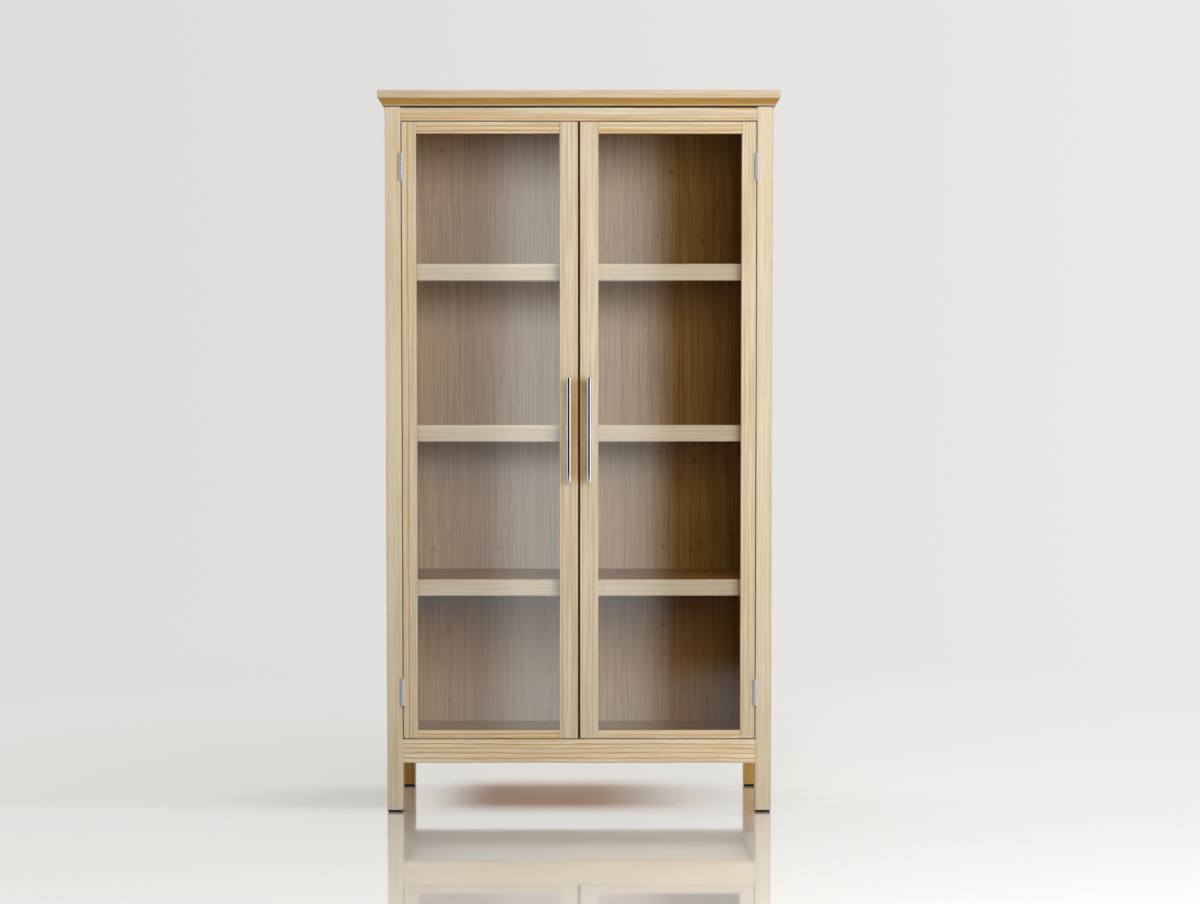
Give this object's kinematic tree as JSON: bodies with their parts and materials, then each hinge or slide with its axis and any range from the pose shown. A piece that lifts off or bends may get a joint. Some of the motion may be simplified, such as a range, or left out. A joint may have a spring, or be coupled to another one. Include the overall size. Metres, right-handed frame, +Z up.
{
  "type": "display cabinet",
  "caption": "Free-standing pine display cabinet with inset glazed doors on butt hinges, fixed shelves, a moulded cornice, bar handles and square legs.",
  "frame": {"origin": "middle of the floor area that the whole cabinet covers, handles included", "axes": "+Z up, -Y to the front where the doors are, +X to the right as seen from the front"},
  "size_m": [0.969, 0.435, 1.75],
  "materials": {
    "pine": "clear matt lacquered solid pine, straight grain with amber growth lines",
    "pine_inside": "clear matt lacquered pine of the panels, boards and shelves, slightly greyer",
    "satin_steel": "satin steel, drawn along its length",
    "glass": "plain clear float glass",
    "pad_rubber": "matt black",
    "catch_plastic": "moulded dark brown plastic round two magnets"
  },
  "bodies": {
    "carcass": {"back_panel": "pine_inside", "bottom_board": "pine_inside", "ceiling_board": "pine_inside", "cornice_front": "pine", "cornice_left": "pine", "cornice_right": "pine", "foot_pad_front_left": "pad_rubber", "foot_pad_front_right": "pad_rubber", "foot_pad_rear_left": "pad_rubber", "foot_pad_rear_right": "pad_rubber", "front_bottom_rail": "pine", "head_rail": "pine", "hinge_frame_leaf_bottom_left": "satin_steel", "hinge_frame_leaf_bottom_right": "satin_steel", "hinge_frame_leaf_top_left": "satin_steel", "hinge_frame_leaf_top_right": "satin_steel", "hinge_pin_bottom_left": "satin_steel", "hinge_pin_bottom_right": "satin_steel", "hinge_pin_top_left": "satin_steel", "hinge_pin_top_right": "satin_steel", "magnetic_catch": "catch_plastic", "post_front_left": "pine", "post_front_right": "pine", "post_rear_left": "pine", "post_rear_right": "pine", "rear_bottom_rail": "pine", "shelf_lower": "pine_inside", "shelf_middle": "pine_inside", "shelf_upper": "pine_inside", "side_panel_left": "pine_inside", "side_panel_right": "pine_inside", "side_rail_bottom_left": "pine", "side_rail_bottom_right": "pine", "side_rail_top_left": "pine", "side_rail_top_right": "pine", "top_slab": "pine"},
    "door_left": {"door_rail_bottom_left": "pine", "door_rail_top_left": "pine", "glass_left": "glass", "glazing_bead_left": "pine", "handle_bar_left": "satin_steel", "handle_standoff_lower_left": "satin_steel", "handle_standoff_upper_left": "satin_steel", "hinge_door_leaf_bottom_left": "satin_steel", "hinge_door_leaf_top_left": "satin_steel", "hinge_stile_left": "pine", "meeting_stile_left": "pine", "strike_plate_left": "satin_steel"},
    "door_right": {"door_rail_bottom_right": "pine", "door_rail_top_right": "pine", "glass_right": "glass", "glazing_bead_right": "pine", "handle_bar_right": "satin_steel", "handle_standoff_lower_right": "satin_steel", "handle_standoff_upper_right": "satin_steel", "hinge_door_leaf_bottom_right": "satin_steel", "hinge_door_leaf_top_right": "satin_steel", "hinge_stile_right": "pine", "meeting_stile_right": "pine", "strike_plate_right": "satin_steel"}
  },
  "joints": [
    {"name": "door_left_hinge", "type": "hinge", "parent": "carcass", "child": "door_left", "pos_m": [-0.42935, -0.1878, 0.93], "axis": [0, 0, -1], "range_deg": [0, 180]},
    {"name": "door_right_hinge", "type": "hinge", "parent": "carcass", "child": "door_right", "pos_m": [0.42935, -0.1878, 0.93], "axis": [0, 0, 1], "range_deg": [0, 180]}
  ]
}
